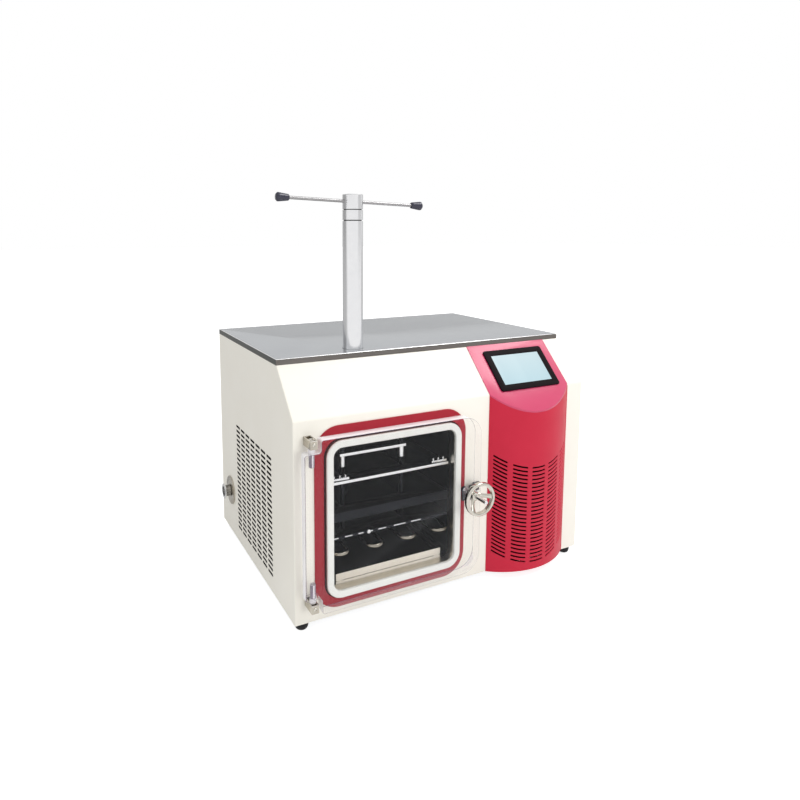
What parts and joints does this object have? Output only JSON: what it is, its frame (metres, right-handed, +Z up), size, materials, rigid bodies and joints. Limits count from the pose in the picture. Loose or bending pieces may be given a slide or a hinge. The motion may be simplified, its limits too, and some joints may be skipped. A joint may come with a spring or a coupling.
{
  "type": "freeze dryer",
  "caption": "Benchtop freeze dryer with a square chamber behind a clear hinged door, a manual stoppering press, a sloped touch console and a slotted bulging fascia.",
  "frame": {"origin": "centre of the bounding box on the bench, under the feet", "axes": "+Z up, +X to the right seen from the front, -Y towards the user"},
  "size_m": [0.801, 0.663, 0.9189],
  "materials": {
    "cream_paint": "powder coat, fine texture",
    "red_paint": "satin powder coat",
    "worktop_steel": "brushed stainless",
    "chamber_steel": "brushed stainless",
    "turned_steel": "fine turned stainless",
    "zinc_steel": "zinc-plated steel",
    "dark_steel": "dark oxide",
    "chrome": "polished chrome",
    "bronze": "turned bronze",
    "copper": "drawn copper tube",
    "acrylic": "clear cast acrylic, polished edges",
    "silicone": "white silicone",
    "black_rubber": "moulded rubber",
    "black_plastic": "moulded, fine texture",
    "navy_plastic": "moulded phenolic",
    "acetal": "turned acetal",
    "screen": "lit display under glass",
    "foam": "black nitrile insulation foam",
    "galvanised": "galvanised sheet",
    "black_enamel": "black enamel"
  },
  "bodies": {
    "cabinet": {"base_pan": "galvanised", "feet": "black_rubber", "front_panel": "cream_paint", "left_side_panel": "cream_paint", "right_side_panel": "cream_paint", "rear_panel": "cream_paint", "worktop": "worktop_steel", "fascia": "red_paint", "console": "red_paint", "screen_bezel": "black_plastic", "display": "screen", "control_box": "galvanised", "mouth_surround": "red_paint", "chamber_shell": "chamber_steel", "chamber_insulation": "foam", "chamber_cradle": "galvanised", "mouth_gasket": "silicone", "shelf_rails": "chamber_steel", "bottom_shelf": "chamber_steel", "guide_rods": "turned_steel", "drip_tray": "turned_steel", "evaporator_coil": "turned_steel", "hinge_brackets": "chrome", "hinge_pins": "turned_steel", "latch_keeper": "dark_steel", "press_column": "turned_steel", "column_bolts": "zinc_steel", "column_bush": "bronze", "ram_gland": "bronze", "ram_seals": "black_rubber", "vacuum_port": "turned_steel", "port_escutcheon": "turned_steel", "vacuum_pipe": "turned_steel", "compressor": "black_enamel", "compressor_mounts": "black_rubber", "condenser": "black_enamel", "fan_shroud": "black_plastic", "fan_motor": "dark_steel", "refrigerant_lines": "copper", "power_inlet": "black_plastic", "rear_screws": "zinc_steel"},
    "door": {"door": "acrylic", "hinge_bushes": "acetal", "latch_bush": "turned_steel"},
    "latch": {"latch_spindle": "turned_steel", "latch_dog": "dark_steel"},
    "clamp": {"thrust_washer": "zinc_steel"},
    "handwheel": {"handwheel": "chrome"},
    "press_handle": {"press_head": "turned_steel", "lead_screw": "turned_steel", "t_bar": "chrome", "bar_knobs": "navy_plastic"},
    "ram": {"press_ram": "turned_steel", "press_plate": "chamber_steel"},
    "upper_shelf": {"upper_shelf": "chamber_steel", "shelf_fittings": "turned_steel"},
    "middle_shelf": {"middle_shelf": "chamber_steel"},
    "fan": {"fan_rotor": "black_plastic"},
    "rocker": {"power_switch": "black_plastic"}
  },
  "joints": [
    {"name": "door_swing", "type": "hinge", "parent": "cabinet", "child": "door", "pos_m": [-0.3495, -0.2675, 0.2415], "axis": [0, 0, -1], "range_deg": [0, 110]},
    {"name": "latch_turn", "type": "hinge", "parent": "door", "child": "latch", "pos_m": [0.0375, -0.28, 0.242], "axis": [0, -1, 0], "range_deg": [0, 90]},
    {"name": "clamp_slide", "type": "slide", "parent": "latch", "child": "clamp", "axis": [0, -1, 0], "range_m": [0, 0.003]},
    {"name": "handwheel_turn", "type": "hinge", "parent": "clamp", "child": "handwheel", "pos_m": [0.0375, -0.28, 0.242], "axis": [0, -1, 0], "range_deg": [0, 720]},
    {"name": "press_turn", "type": "hinge", "parent": "cabinet", "child": "press_handle", "pos_m": [-0.1745, -0.096, 0.7], "axis": [0, 0, -1], "range_deg": [0, 2880]},
    {"name": "ram_slide", "type": "slide", "parent": "cabinet", "child": "ram", "axis": [0, 0, -1], "range_m": [0, 0.04]},
    {"name": "upper_shelf_slide", "type": "slide", "parent": "cabinet", "child": "upper_shelf", "axis": [0, 0, -1], "range_m": [0, 0.0267]},
    {"name": "middle_shelf_slide", "type": "slide", "parent": "cabinet", "child": "middle_shelf", "axis": [0, 0, -1], "range_m": [0, 0.01335]},
    {"name": "fan_spin", "type": "hinge", "parent": "cabinet", "child": "fan", "pos_m": [0.23, -0.162, 0.125], "axis": [0, 1, 0], "continuous": true},
    {"name": "power_rocker", "type": "hinge", "parent": "cabinet", "child": "rocker", "pos_m": [0.3105, 0.325, 0.16], "axis": [-1, 0, 0], "range_deg": [0, 16]}
  ],
  "couplings": [
    {"joint": "handwheel_turn", "follows": "clamp_slide", "rad_per_m": 4188.8},
    {"joint": "ram_slide", "follows": "press_turn", "m_per_rad": 0.00079577},
    {"joint": "upper_shelf_slide", "follows": "press_turn", "m_per_rad": 0.00053051},
    {"joint": "middle_shelf_slide", "follows": "press_turn", "m_per_rad": 0.00026525}
  ]
}
